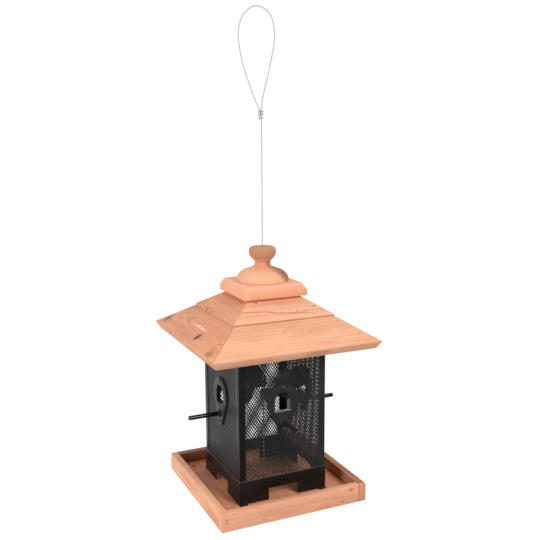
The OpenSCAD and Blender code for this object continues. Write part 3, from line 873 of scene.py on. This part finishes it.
@dataclass(frozen=True)
class PanScrew:
    """A pan-head screw with a cross recess."""

    head: float  # The head's radius
    height: float  # The head's height
    shank: float  # The shank's radius
    length: float  # The shank's length
    cells: int = 7  # Cells across the head, of which the middle row and column make the recess
    dome: float = 0.45  # How far the head falls to its brim, as a share of its height
    recess: float = 0.45  # The recess's depth, as a share of the head's height
    reach: float = 0.75  # The recess's reach, as a share of the head's radius

    def is_cross(self, face: BMFace) -> bool:
        """Says whether a face of the head's top lies in the recess.

        Args:
            face: The face.
        """
        middle = face.calc_center_median().to_2d()
        # A little over half a cell takes in the middle row and column
        bar = self.head / self.cells * 1.05
        return min(abs(middle.x), abs(middle.y)) < bar and middle.length < self.head * self.reach

    def mesh(self) -> BMesh:
        """Returns the screw in mm, its head's underside at the origin and its head up."""
        bm = bmesh.new()
        bmesh.ops.create_grid(bm, x_segments=self.cells, y_segments=self.cells, size=1.0)
        for vert in bm.verts:
            flat = max(abs(vert.co.x), abs(vert.co.y))
            if flat > 0.01:
                # The square grid is rounded more and more towards the brim
                ring = Vector((vert.co.x, vert.co.y, 0)).normalized() * flat
                vert.co = vert.co.lerp(ring, flat ** 3)
            vert.co.z = (1 - self.dome * vert.co.to_2d().length_squared) * self.height
            vert.co.x, vert.co.y = vert.co.x * self.head, vert.co.y * self.head
        cross = [f for f in bm.faces if self.is_cross(f)]
        sunk = bmesh.ops.extrude_face_region(bm, geom=cross)["geom"]
        bmesh.ops.delete(bm, geom=cross, context="FACES")
        bmesh.ops.translate(bm, verts=[g for g in sunk if isinstance(g, BMVert)],
                            vec=(0, 0, -self.recess * self.height))
        rim = [e for e in bm.edges if e.is_boundary]
        for z, r in ((0.0, 1.0), (0.0, self.shank / self.head), (-self.length, self.shank / self.head)):
            rim, verts = grown(bm, rim)
            for vert in verts:
                vert.co = vert.co.to_2d().normalized().to_3d() * self.head * r + Vector((0, 0, z))
        bmesh.ops.contextual_create(bm, geom=rim)
        bmesh.ops.recalc_face_normals(bm, faces=bm.faces)
        return bm


# Tray

TRAY_CEDAR = Cedar(
    "rail_cedar", light="#eab08b", dark="#c27f5b", blush="#dd9270", ring=6.0, contrast=0.5, pith=(-40, -150),
    wander=6.0, patches=0.8)
RAIL_CEDARS = {
    # The front rail is a little lighter, as painted light making up for light that the roof keeps from it
    Side.FRONT: replace(
        TRAY_CEDAR, light="#f4b08c", dark="#c27a57", blush="#eb9f7d", ring=8.0, knots=(
            Knot(93.5, 23, 4.4, 3.2, "#bf7a58", "#d08c69", swirl=1.5),
            Knot(108.4, 14, 1.3, 90, "#9a5f43", "#c78460", depth=0.7),
            Knot(-86, 21, 2.0, 2.4, "#f3c4a6", "#d99270"))),
    # The right rail is darker, as painted shade on its inner face; the lighter band at its front end keeps
    # its end grain at the plain tone
    Side.RIGHT: replace(
        TRAY_CEDAR, light="#b87955", dark="#905639", blush="#a4603f", knots=(
            Knot(-120, 14, 5.0, 90, "#e09974", "#c9835f"),)),
    # The back rail is much darker, as painted shade from the roof and the silo on its inner face
    Side.BACK: replace(TRAY_CEDAR, light="#9b5f43", dark="#6e3f2a", blush="#87492f"),
    Side.LEFT: replace(TRAY_CEDAR, light="#f3b48c", dark="#cc8762", contrast=0.35),
}
FLOOR_CEDAR = Cedar(
    "floor_cedar", light="#e19b74", dark="#b06b46", blush="#ce845e", ring=9.0, contrast=0.5, pith=(30, -60),
    lean=1.0, wander=8.0, seed=12.4, origin=(0, 0, 11), turn=(0, 0, 90), knots=(
        Knot(90, 89, 3.8, 3.2, "#5a2f1f", "#96583a", swirl=3.0),
        # This broad pale patch is painted light: it lightens the floor inside the silo, where the roof shades
        # it
        Knot(0, 0, 65, 65, "#ffab7e", "#ffab7e", depth=0.8)))


@dataclass(frozen=True)
class Tray:
    """The cedar tray: a floor panel and four rails that butt one after another round it."""

    half: float = 120.0  # Half of the tray's width
    rail_ease: float = 0.6  # The rails' eased edges
    floor_ease: float = 0.3  # The floor's eased edges
    # The nails at a rail's end, as (along, height)
    corner_nails: tuple[tuple[float, float], ...] = ((-112.3, 14.25), (-112.3, 19.1))
    # The nails from a rail into the floor
    floor_nails: tuple[tuple[float, float], ...] = ((-54.0, 6.6), (79.2, 6.6))

    def build(self) -> None:
        """Builds the rails, the floor and the nails."""
        for side in Side:
            cedar = RAIL_CEDARS[side].on_side(side, (0, -self.half, 0), 90, 3.1 + side.value)
            dress_node(f"tray_rail_{side.word}", self.rail_ease, f"cedar_rail_{side.word}", cedar, Body.BASE)
        dress_node("tray_floor", self.floor_ease, "cedar_floor", FLOOR_CEDAR, Body.BASE)
        Nails("tray_nails", "tray_brads", Body.BASE, tuple(
            (x, -self.half, z) for x, z in (*self.corner_nails, *self.floor_nails))).build()


# Silo

POSTS = ("front_left", "front_right", "back_right", "back_left")
# Baked powder is satin black, a little greyer where it thins over an edge. One post is painted lighter, as
# painted light falling on it from the right, a little seed dust hazes the skirt, and the mesh's colour is
# lighter, as painted light that its many edges catch
POWDER_COAT = Coated("powder_coated_steel", "#151517", "#4a4c50", 0.40, 1.1, 0.03, level=0.3)
PAINTED_LIGHT_COAT = replace(POWDER_COAT, name="powder_coat_painted_light", colour="#2c2b2c")
SKIRT_COAT = Coated("powder_coated_skirt", "#191210", "#6a6460", 0.36, 1.1, 0.03, level=0.22, dust=0.02)
MESH_COAT = Coated("powder_coated_mesh", "#302e2e", "#484646", 0.45, 0.9, 0.02, level=0.4)


@dataclass(frozen=True)
class MeshPanel:
    """Expanded steel mesh, cut to a panel with the port's opening in it.

    The real diamonds are 3.5 by 5 mm, too fine to show, so they are drawn 4.5 by 6.6 mm.
    """

    pitch_x: float = 4.5  # Distance between the diamonds along a row
    pitch_z: float = 6.6  # Distance between every second row
    strand: float = 1.22  # Width of the strands
    thickness: float = 0.8
    face: float = 71.5  # Distance of the panel's face from the axis
    half_width: float = 70.7  # Half of the panel's width
    low: float = 38.0  # Height of its lower edge
    high: float = 271.0  # Height of its upper edge
    port_z: float = 165.0  # Height of the port's centre
    port_r: float = 15.6  # Half width of the port's opening in it
    port_drop: float = 16.4  # How far the opening reaches below its centre
    whole: float = 0.6  # The least share of a diamond, beside the panel's edges, that is still opened

    def is_port(self, face: BMFace) -> bool:
        """Says whether a diamond lies in the port's opening.

        Args:
            face: A face of the flat lattice.
        """
        middle = face.calc_center_median()
        x, z = middle.x, middle.z - self.port_z
        spread = self.pitch_x / 2
        if z > 0:
            return math.hypot(x, z) < self.port_r + spread
        return abs(x) < self.port_r + spread and z > -self.port_drop - spread

    def lattice(self) -> BMesh:
        """Returns the flat lattice of strands on the front panel's face, in mm."""
        count = 2 * math.ceil(self.half_width / self.pitch_x + (self.high - self.low) / 2 / self.pitch_z) + 4
        middle = (self.low + self.high) / 2
        skew = Matrix(((self.pitch_x / 2, self.pitch_x / 2, 0, 0), (0, 0, 1, -self.face),
                       (self.pitch_z / 2, -self.pitch_z / 2, 0, middle), (0, 0, 0, 1)))
        bm = bmesh.new()
        bmesh.ops.create_grid(bm, x_segments=count, y_segments=count, size=count / 2)
        bmesh.ops.transform(bm, matrix=skew, verts=bm.verts)
        for place, out in (((self.half_width, 0, 0), (1, 0, 0)), ((-self.half_width, 0, 0), (-1, 0, 0)),
                           ((0, 0, self.high), (0, 0, 1)), ((0, 0, self.low), (0, 0, -1))):
            bmesh.ops.bisect_plane(bm, geom=[*bm.verts, *bm.edges, *bm.faces], dist=1e-4,
                                   plane_co=place, plane_no=out, clear_outer=True)
        bmesh.ops.delete(bm, geom=[f for f in bm.faces if self.is_port(f)], context="FACES")
        least = self.whole * self.pitch_x * self.pitch_z / 2
        diamonds = [f for f in bm.faces if f.calc_area() > least]
        bmesh.ops.inset_individual(bm, faces=diamonds, thickness=self.strand / 2, use_even_offset=True)
        bmesh.ops.delete(bm, geom=diamonds, context="FACES")
        return bm

    def mesh(self, side: Side) -> BMesh:
        """Returns the panel on its side, in metres.

        Args:
            side: The panel's side.
        """
        bm = self.lattice()
        new = bmesh.ops.extrude_face_region(bm, geom=list(bm.faces), use_keep_orig=True)["geom"]
        bmesh.ops.translate(bm, verts=[g for g in new if isinstance(g, BMVert)], vec=(0, self.thickness, 0))
        bmesh.ops.recalc_face_normals(bm, faces=bm.faces)
        return placed(bm, side.turn)


@dataclass(frozen=True)
class Silo:
    """The black silo: skirt, folded corner posts, rim and mesh panels."""

    sheet_ease: float = 0.3  # The folded sheet's eased edges
    top_highlight: float = 0.22  # How pale the skirt's top edge is painted, as a painted highlight where it catches the light
    panel: MeshPanel = MeshPanel()
    twisted: float = 1.35  # Thickness of the left panel, whose twisted strands close it to a slanting look
    tab_across: float = 67.25  # The skirt's fixing screws, from the axis along the side
    tab_out: float = 76.25  # The skirt's fixing screws, from the axis outwards
    tab_top: float = 12.0  # The top of the skirt's tabs
    screw: PanScrew = PanScrew(head=2.0, height=1.1, shank=1.0, length=8.0)  # One of those screws

    def skirt(self) -> BMesh:
        """Returns the skirt with a painted highlight along its top edge, in metres."""
        bm = eased("base_skirt", self.sheet_ease)
        edge = max(v.co.z for v in bm.verts) - self.sheet_ease * MM
        return paint_highlight(bm, self.top_highlight, lambda f: f.normal.z > 0.3 and f.calc_center_median().z > edge)

    def build(self) -> None:
        """Builds the skirt, its screws, the posts, the rim and the panels."""
        finish_piece(self.skirt(), "skirt", SKIRT_COAT, Body.BASE, "base_skirt")
        places = [(x * self.tab_across, y * self.tab_out, self.tab_top) for x in (-1, 1) for y in (-1, 1)]
        screws = [placed(self.screw.mesh(), Matrix.Translation(place)) for place in places]
        finish_piece(joined(screws), "skirt_pan_screws", SCREW_STEEL, Body.BASE, "skirt_screws")
        for corner in POSTS:
            # The front right post takes the coat that is painted lighter, as painted light
            coat = PAINTED_LIGHT_COAT if corner == "front_right" else POWDER_COAT
            dress_node(f"corner_post_{corner}", self.sheet_ease, f"post_{corner}", coat, Body.BASE)
        dress_node("top_rim", self.sheet_ease, "rim", POWDER_COAT, Body.BASE)
        for side in Side:
            panel = replace(self.panel, thickness=self.twisted) if side is Side.LEFT else self.panel
            finish_piece(panel.mesh(side), f"mesh_{side.word}", MESH_COAT, Body.BASE,
                         f"mesh_panel_{side.word}", crease=30)


# Ports

# Polypropylene from an etched mould is matt and waxy. The perches come from a polished one and shine.
# The front one is a little rougher, and its brown colour is a painted reflection of the cedar tray
PLATE_PLASTIC = Coated("moulded_polypropylene", "#2e2b2c", "#464344", 0.42, 0.9, 0.02, level=0.2,
                       slot=Slot.PLASTIC)
HOOD_PLASTIC = Coated("moulded_hood", "#2b2929", "#3a3839", 0.42, 0.9, 0.02, level=0.45, slot=Slot.PLASTIC)
PERCH_PLASTIC = Coated("glossy_rod", "#0d0d0e", "#1c1c1e", 0.14, 2.0, 0.01, level=0.55, slot=Slot.PLASTIC)
REFLECTION_ROD_PLASTIC = replace(PERCH_PLASTIC, name="rod_painted_reflection", colour="#28211d", roughness=0.22, level=0.8)


@dataclass(frozen=True)
class Ports:
    """The four ports: a moulded plate, a hood behind the mesh, a perch and two screws on each."""

    plate_ease: float = 0.5  # The plates' rounded edges
    hood_ease: float = 0.3  # The hoods' rounded edges
    plate_face: float = 74.5  # Distance of the plate's face from the axis
    screw_heights: tuple[float, float] = (186.0, 121.0)  # Heights of the screws
    screw: PanScrew = PanScrew(head=2.9, height=1.6, shank=1.4, length=7.0)  # One of those screws
    perch_height: float = 133.5
    perch_start: float = 72.5  # Where the perch starts in its socket, from the axis
    perch_end: float = 126.5  # Where the perch ends
    perch_r: float = 3.45  # The perch's radius
    perch_tip: float = 1.5  # The radius round the perch's end
    sill_z: float = 150.0  # Height of the arch's sill
    sill_half: float = 15.0  # Half of the sill's width
    sill_highlight: float = 0.65  # How pale the sill is painted, as a painted highlight on its glossy top

    def outward(self, bm: BMesh, side: Side, start: float, height: float) -> BMesh:
        """Turns an upright mesh outwards and returns it in its place in a port, in metres."""
        return placed(bm, Matrix.Rotation(math.pi / 2, 4, "X"), Matrix.Translation((0, -start, height)),
                      side.turn)

    def perch(self, side: Side) -> BMesh:
        """Returns one perch in its socket, in metres.

        Args:
            side: The perch's side.
        """
        length, r, tip = self.perch_end - self.perch_start, self.perch_r, self.perch_tip
        rod = turned([(0, 0), (r, 0), (r, length / 2), *arc(r - tip, length - tip, tip, tip, 0, 90, 6),
                      (0, length)], steps=40)
        return self.outward(rod, side, self.perch_start, self.perch_height)

    def plate(self, side: Side) -> BMesh:
        """Returns one plate, with a painted highlight on its sill on all sides but the left, in metres.

        Args:
            side: The plate's side.
        """
        bm, back = eased(f"port_plate_{side.word}", self.plate_ease), side.turn.inverted()

        def is_sill(face: BMFace) -> bool:
            """Says whether a face is part of the sill."""
            middle = back @ face.calc_center_median() / MM
            return face.normal.z > 0.6 and abs(middle.x) < self.sill_half and abs(middle.z - self.sill_z) < 1

        return bm if side is Side.LEFT else paint_highlight(bm, self.sill_highlight, is_sill)

    def build(self) -> None:
        """Builds plates, hoods, perches and screws on all four sides."""
        screws = []
        for side in Side:
            word = side.word
            # The front perch's brown colour is a painted reflection of the cedar tray
            rod = REFLECTION_ROD_PLASTIC if side is Side.FRONT else PERCH_PLASTIC
            finish_piece(self.plate(side), f"plate_{word}", PLATE_PLASTIC, Body.BASE, f"port_plate_{word}")
            dress_node(f"port_hood_{word}", self.hood_ease, f"hood_{word}", HOOD_PLASTIC, Body.BASE)
            finish_piece(self.perch(side), f"rod_{word}", rod, Body.BASE, f"perch_{word}")
            screws += [self.outward(self.screw.mesh(), side, self.plate_face, z) for z in self.screw_heights]
        finish_piece(joined(screws), "port_pan_screws", SCREW_STEEL, Body.BASE, "port_screws")


# Roof

LOWER_CEDARS = {
    Side.FRONT: Cedar(
        "lower_cedar", light="#f6ba94", dark="#cd855d", blush="#eda67f", ring=6.0, pith=(-240, -70),
        wander=6.0, patches=0.7, arris=0.15, knots=(
            Knot(14.5, -7.0, 5.5, 4.2, "#ffd7ba", "#c07c58", swirl=2.0, on_edge=True),
            Knot(32, -6, 22, 5.0, "#cf8c68", "#dd9d78", depth=0.6, on_edge=True),
            Knot(-10, 42.5, 1.8, 1.1, "#b9734f", "#d58c66"),
            Knot(28.8, 36, 1.4, 1.6, "#b9734f", "#d58c66"),
            Knot(106.8, 21.7, 2.0, 1.3, "#c0704e", "#d58c66"))),
    Side.RIGHT: Cedar(
        "lower_cedar", light="#efb088", ring=6.5, pith=(20, -22), lean=-6.0, knots=(
            Knot(42, 30, 3.5, 2.6, swirl=6.0), Knot(-66, 12, 1.6, 1.4))),
    Side.BACK: Cedar(
        "lower_cedar", light="#eaa982", ring=7.5, pith=(-190, -50), knots=(
            Knot(-38, 22, 3.0, 4.0, "#8a563a", swirl=6.0),)),
    Side.LEFT: Cedar(
        "lower_cedar", light="#eca982", dark="#a8623f", blush="#d8906c", ring=3.0, contrast=0.55,
        pith=(36, -15.1), lean=-4.3, wander=1.2, patches=0.8, arris=0.12, knots=(
            Knot(38, 42, 75, 17.0, "#d88d6a", "#de9874", depth=0.45),
            Knot(7, 34.5, 34, 3.3, "#ffdfc2", "#f3b893", swirl=1.2, depth=1.0, pointed=True),
            Knot(7, 34.5, 3.2, 1.7, "#a4553a", "#d98a68"),
            Knot(28.8, 19.3, 7.0, 9.0, "#66452c", "#a8714f", swirl=1.5, tilt=-26, depth=0.95),
            Knot(-108, 17.3, 7.0, 13.0, "#7b5c38", "#ae8660", swirl=1.0, tilt=-29),
            Knot(103, 9.0, 13.0, 7.5, "#a4744f", "#c08c66", swirl=1.5, depth=0.75),
            Knot(99.7, 29.6, 8.5, 1.3, "#b25f40", "#cf8560", tilt=14, depth=0.8),
            Knot(97, 19.3, 1.6, 10.0, "#b9684a", "#cf8560", tilt=28, depth=0.7),
            # This thin line along the front mitre is partly the joint's dark seam and partly painted shade in
            # its groove
            Knot(96, 46.5, 62.0, 1.6, "#a05d40", "#c98863", tilt=-49.7, depth=0.7))),
}
PLAIN_UPPER = Cedar("upper_cedar", light="#eaa67f", dark="#bb7a56", ring=4.5, pith=(-220, -80), wander=4.0)
UPPER_CEDARS = {
    Side.FRONT: Cedar(
        "upper_cedar", light="#fbbd9a", dark="#c07852", blush="#f0ac88", ring=9.5, contrast=0.6,
        pith=(-60, -150), wander=13.0, patches=0.8, arris=0.15, knots=(
            Knot(26.5, 79.2, 2.2, 1.2, "#8d563c", "#c4805c", swirl=3.0),
            Knot(55.7, 85.5, 5.0, 1.6, "#c0704e", "#d58c66", swirl=2.0),
            Knot(38, 77.5, 9.0, 1.5, "#c9785a", "#dd9670", depth=0.6),
            Knot(-32.5, 104.2, 2.6, 2.6, "#a8644a", "#c9805f", tilt=20, depth=0.7),
            Knot(-26, 105, 4.0, 1.6, "#ffe0c6", "#f0b894", depth=0.9),
            Knot(-41, 85.7, 30, 1.3, "#b0694a", "#d08a64", tilt=-5, depth=0.6),
            Knot(-12, 80.3, 18, 1.4, "#b0694a", "#d08a64", tilt=-17, depth=0.6),
            Knot(24, 74.8, 42, 1.3, "#b0694a", "#d08a64", tilt=-8, depth=0.6),
            # This long dark line along the lap is partly dirt in the gap and partly painted shadow under the
            # upper board's edge
            Knot(0, 61.8, 400, 2.6, "#9a5a3c", "#c27a56", depth=0.8))),
    Side.RIGHT: PLAIN_UPPER,
    Side.BACK: PLAIN_UPPER,
    Side.LEFT: Cedar(
        "upper_cedar", light="#f0aa82", dark="#9c5c3e", blush="#d5906b", ring=3.6, contrast=0.8,
        pith=(-260, -60), wander=3.0, patches=0.6, arris=0.12, knots=(
            Knot(-33, 66.2, 4.4, 3.8, "#7c4c36", "#b67858"),
            Knot(-12, 65.5, 18.0, 2.4, "#c9785a", "#d98d6c", depth=0.6))),
}
CAP_CEDAR = Cedar(
    "cap_cedar", light="#f1ad86", dark="#cd855f", blush="#e8a07a", ring=6.0, contrast=0.4, pith=(30, -130),
    patches=0.6, seed=71.0, origin=(0, 0, 320.7), knots=(
        Knot(0, 17.5, THROUGH, 7.5, "#f3b295", "#f3b295", depth=0.7, on_edge=True),
        Knot(0, 4.5, THROUGH, 12.0, "#efa27a", "#efa27a", depth=0.5, on_edge=True),
        # This patch lightens the block's left face, as painted light
        Knot(-78, 0, 35, 400, "#fbb990", "#fbb990", depth=0.5)))
FINIAL_CEDAR = Cedar(
    "finial_cedar", light="#f2b790", dark="#cf8f69", blush="#dd9a76", ring=3.4, contrast=0.32, pith=(-75, 40),
    wander=3.0, patches=0.6, seed=83.0, turn=(116, -90, 0), knots=(
        Knot(27, 8, 9, 60, "#d68c69", "#e59f7b", depth=0.6),
        Knot(47, 0, 15, 60, "#bd8463", "#c98f6e", depth=0.8),
        Knot(27, 0.5, 7.0, 6.5, "#b5674a", "#cf8560", depth=0.8),
        # This dark patch on the dome's right side is painted shade
        Knot(9.5, -14.0, 23, 13.5, "#8a5137", "#c07e5e", tilt=52, depth=0.75)))


@dataclass(frozen=True)
class Roof:
    """The pagoda roof: mitred and lapped cedar boards, bars under them, cap block and turned finial."""

    half: float = 135.5  # Half of the roof's width across the eaves
    eave_z: float = 258.7  # Height of the eaves' top edge
    slope: float = 32.0  # In degrees
    board_ease: float = 0.55  # The boards' eased edges
    bar_ease: float = 0.5  # The bars' eased edges
    bar_half: float = 84.0  # The bars' distance from the axis
    bar_z: float = 263.0  # Height of the bars' tops, and of the nails' heads in them
    cap_ease: float = 0.7  # The cap block's eased edges
    finial_z: float = 339.7  # Height of the finial's foot
    finial_h: float = 54.0  # The finial's height
    finial_r: float = 40.8  # The radius of its foot
    flare: float = 40.5  # How far the finial's neck opens from the upright, in degrees
    hole_r: float = 2.2  # The cable hole's radius
    nail_half: float = 79.0  # The roof nails' distance from the axis
    nail_along: tuple[float, ...] = (-55.1, 0.0, 55.1)  # Their places along a side

    def finial(self) -> BMesh:
        """Turns the finial and returns it, in metres."""
        r, h, flare = self.finial_r, self.finial_h, math.radians(self.flare)
        # The foot's dome, the cove in two radii, and the knob, as shares of the foot's radius and the height
        lip, foot_mid, foot_h = 0.8, r * 0.44, h * 0.352
        waist_r, neck_low, neck_high, low, high = r * 0.3, h * 0.51, h * 0.52, r * 0.16, r * 0.147
        knob_r, rounded, under, crown = r * 0.517, r * 0.145, r * 0.26, 0.9
        knob_z = neck_high + (high + under) * math.sin(flare) + (
            knob_r - waist_r - (high + under) * (1 - math.cos(flare))) / math.tan(flare)
        outline = [
            (self.hole_r, 0), (r - lip, 0),
            *arc(foot_mid, lip, r - foot_mid, foot_h - lip, 0, 62, 16),
            *arc(waist_r + low, neck_low, low, low, 249, 180, 14),
            *arc(waist_r + high, neck_high, high, high, 180, 180 - self.flare, 8),
            *arc(knob_r - under, knob_z, under, under, -self.flare, 0, 8),
            *arc(knob_r - rounded, h - crown - rounded, rounded, rounded, 0, 78, 12),
            *arc(0, h - crown * 1.6, knob_r, crown * 1.6, 55, 84, 6),
            (self.hole_r, h - 0.6), (self.hole_r, 0),
        ]
        return placed(turned(outline, steps=96), Matrix.Translation((0, 0, self.finial_z)))

    def build(self) -> None:
        """Builds the boards, bars, nails, cap block and finial."""
        bar_cedar = replace(TRAY_CEDAR, name="bar_cedar")
        for side in Side:
            for part, cedars, shift in (("lower", LOWER_CEDARS, 0.0), ("upper", UPPER_CEDARS, 2.3)):
                cedar = cedars[side].on_side(
                    side, (0, -self.half, self.eave_z), self.slope, 21.7 + 5 * side.value + shift)
                dress_node(f"{part}_board_{side.word}", self.board_ease, f"{part}_cedar_board_{side.word}",
                           cedar, Body.ROOF)
            bar = bar_cedar.on_side(side, (0, -self.bar_half, self.bar_z), 90, 51.0 + side.value)
            dress_node(f"roof_bar_{side.word}", self.bar_ease, f"cedar_bar_{side.word}", bar, Body.ROOF)
        Nails("roof_nails", "roof_brads", Body.ROOF,
              tuple((x, -self.nail_half, self.bar_z) for x in self.nail_along), upward=True).build()
        dress_node("cap_block", self.cap_ease, "cedar_cap", CAP_CEDAR, Body.ROOF)
        cedar = replace(FINIAL_CEDAR, origin=(0, 0, self.finial_z))
        finish_piece(self.finial(), "cedar_finial", cedar, Body.ROOF, "finial", crease=50)


def main() -> None:
    """Builds the studio and the feeder's sub-assemblies in order."""
    logging.basicConfig(level=logging.INFO, format="%(name)s: %(message)s")
    for part in (Studio(), Cable(), Tray(), Silo(), Ports(), Roof()):
        part.build()


if __name__ == "__main__":
    main()
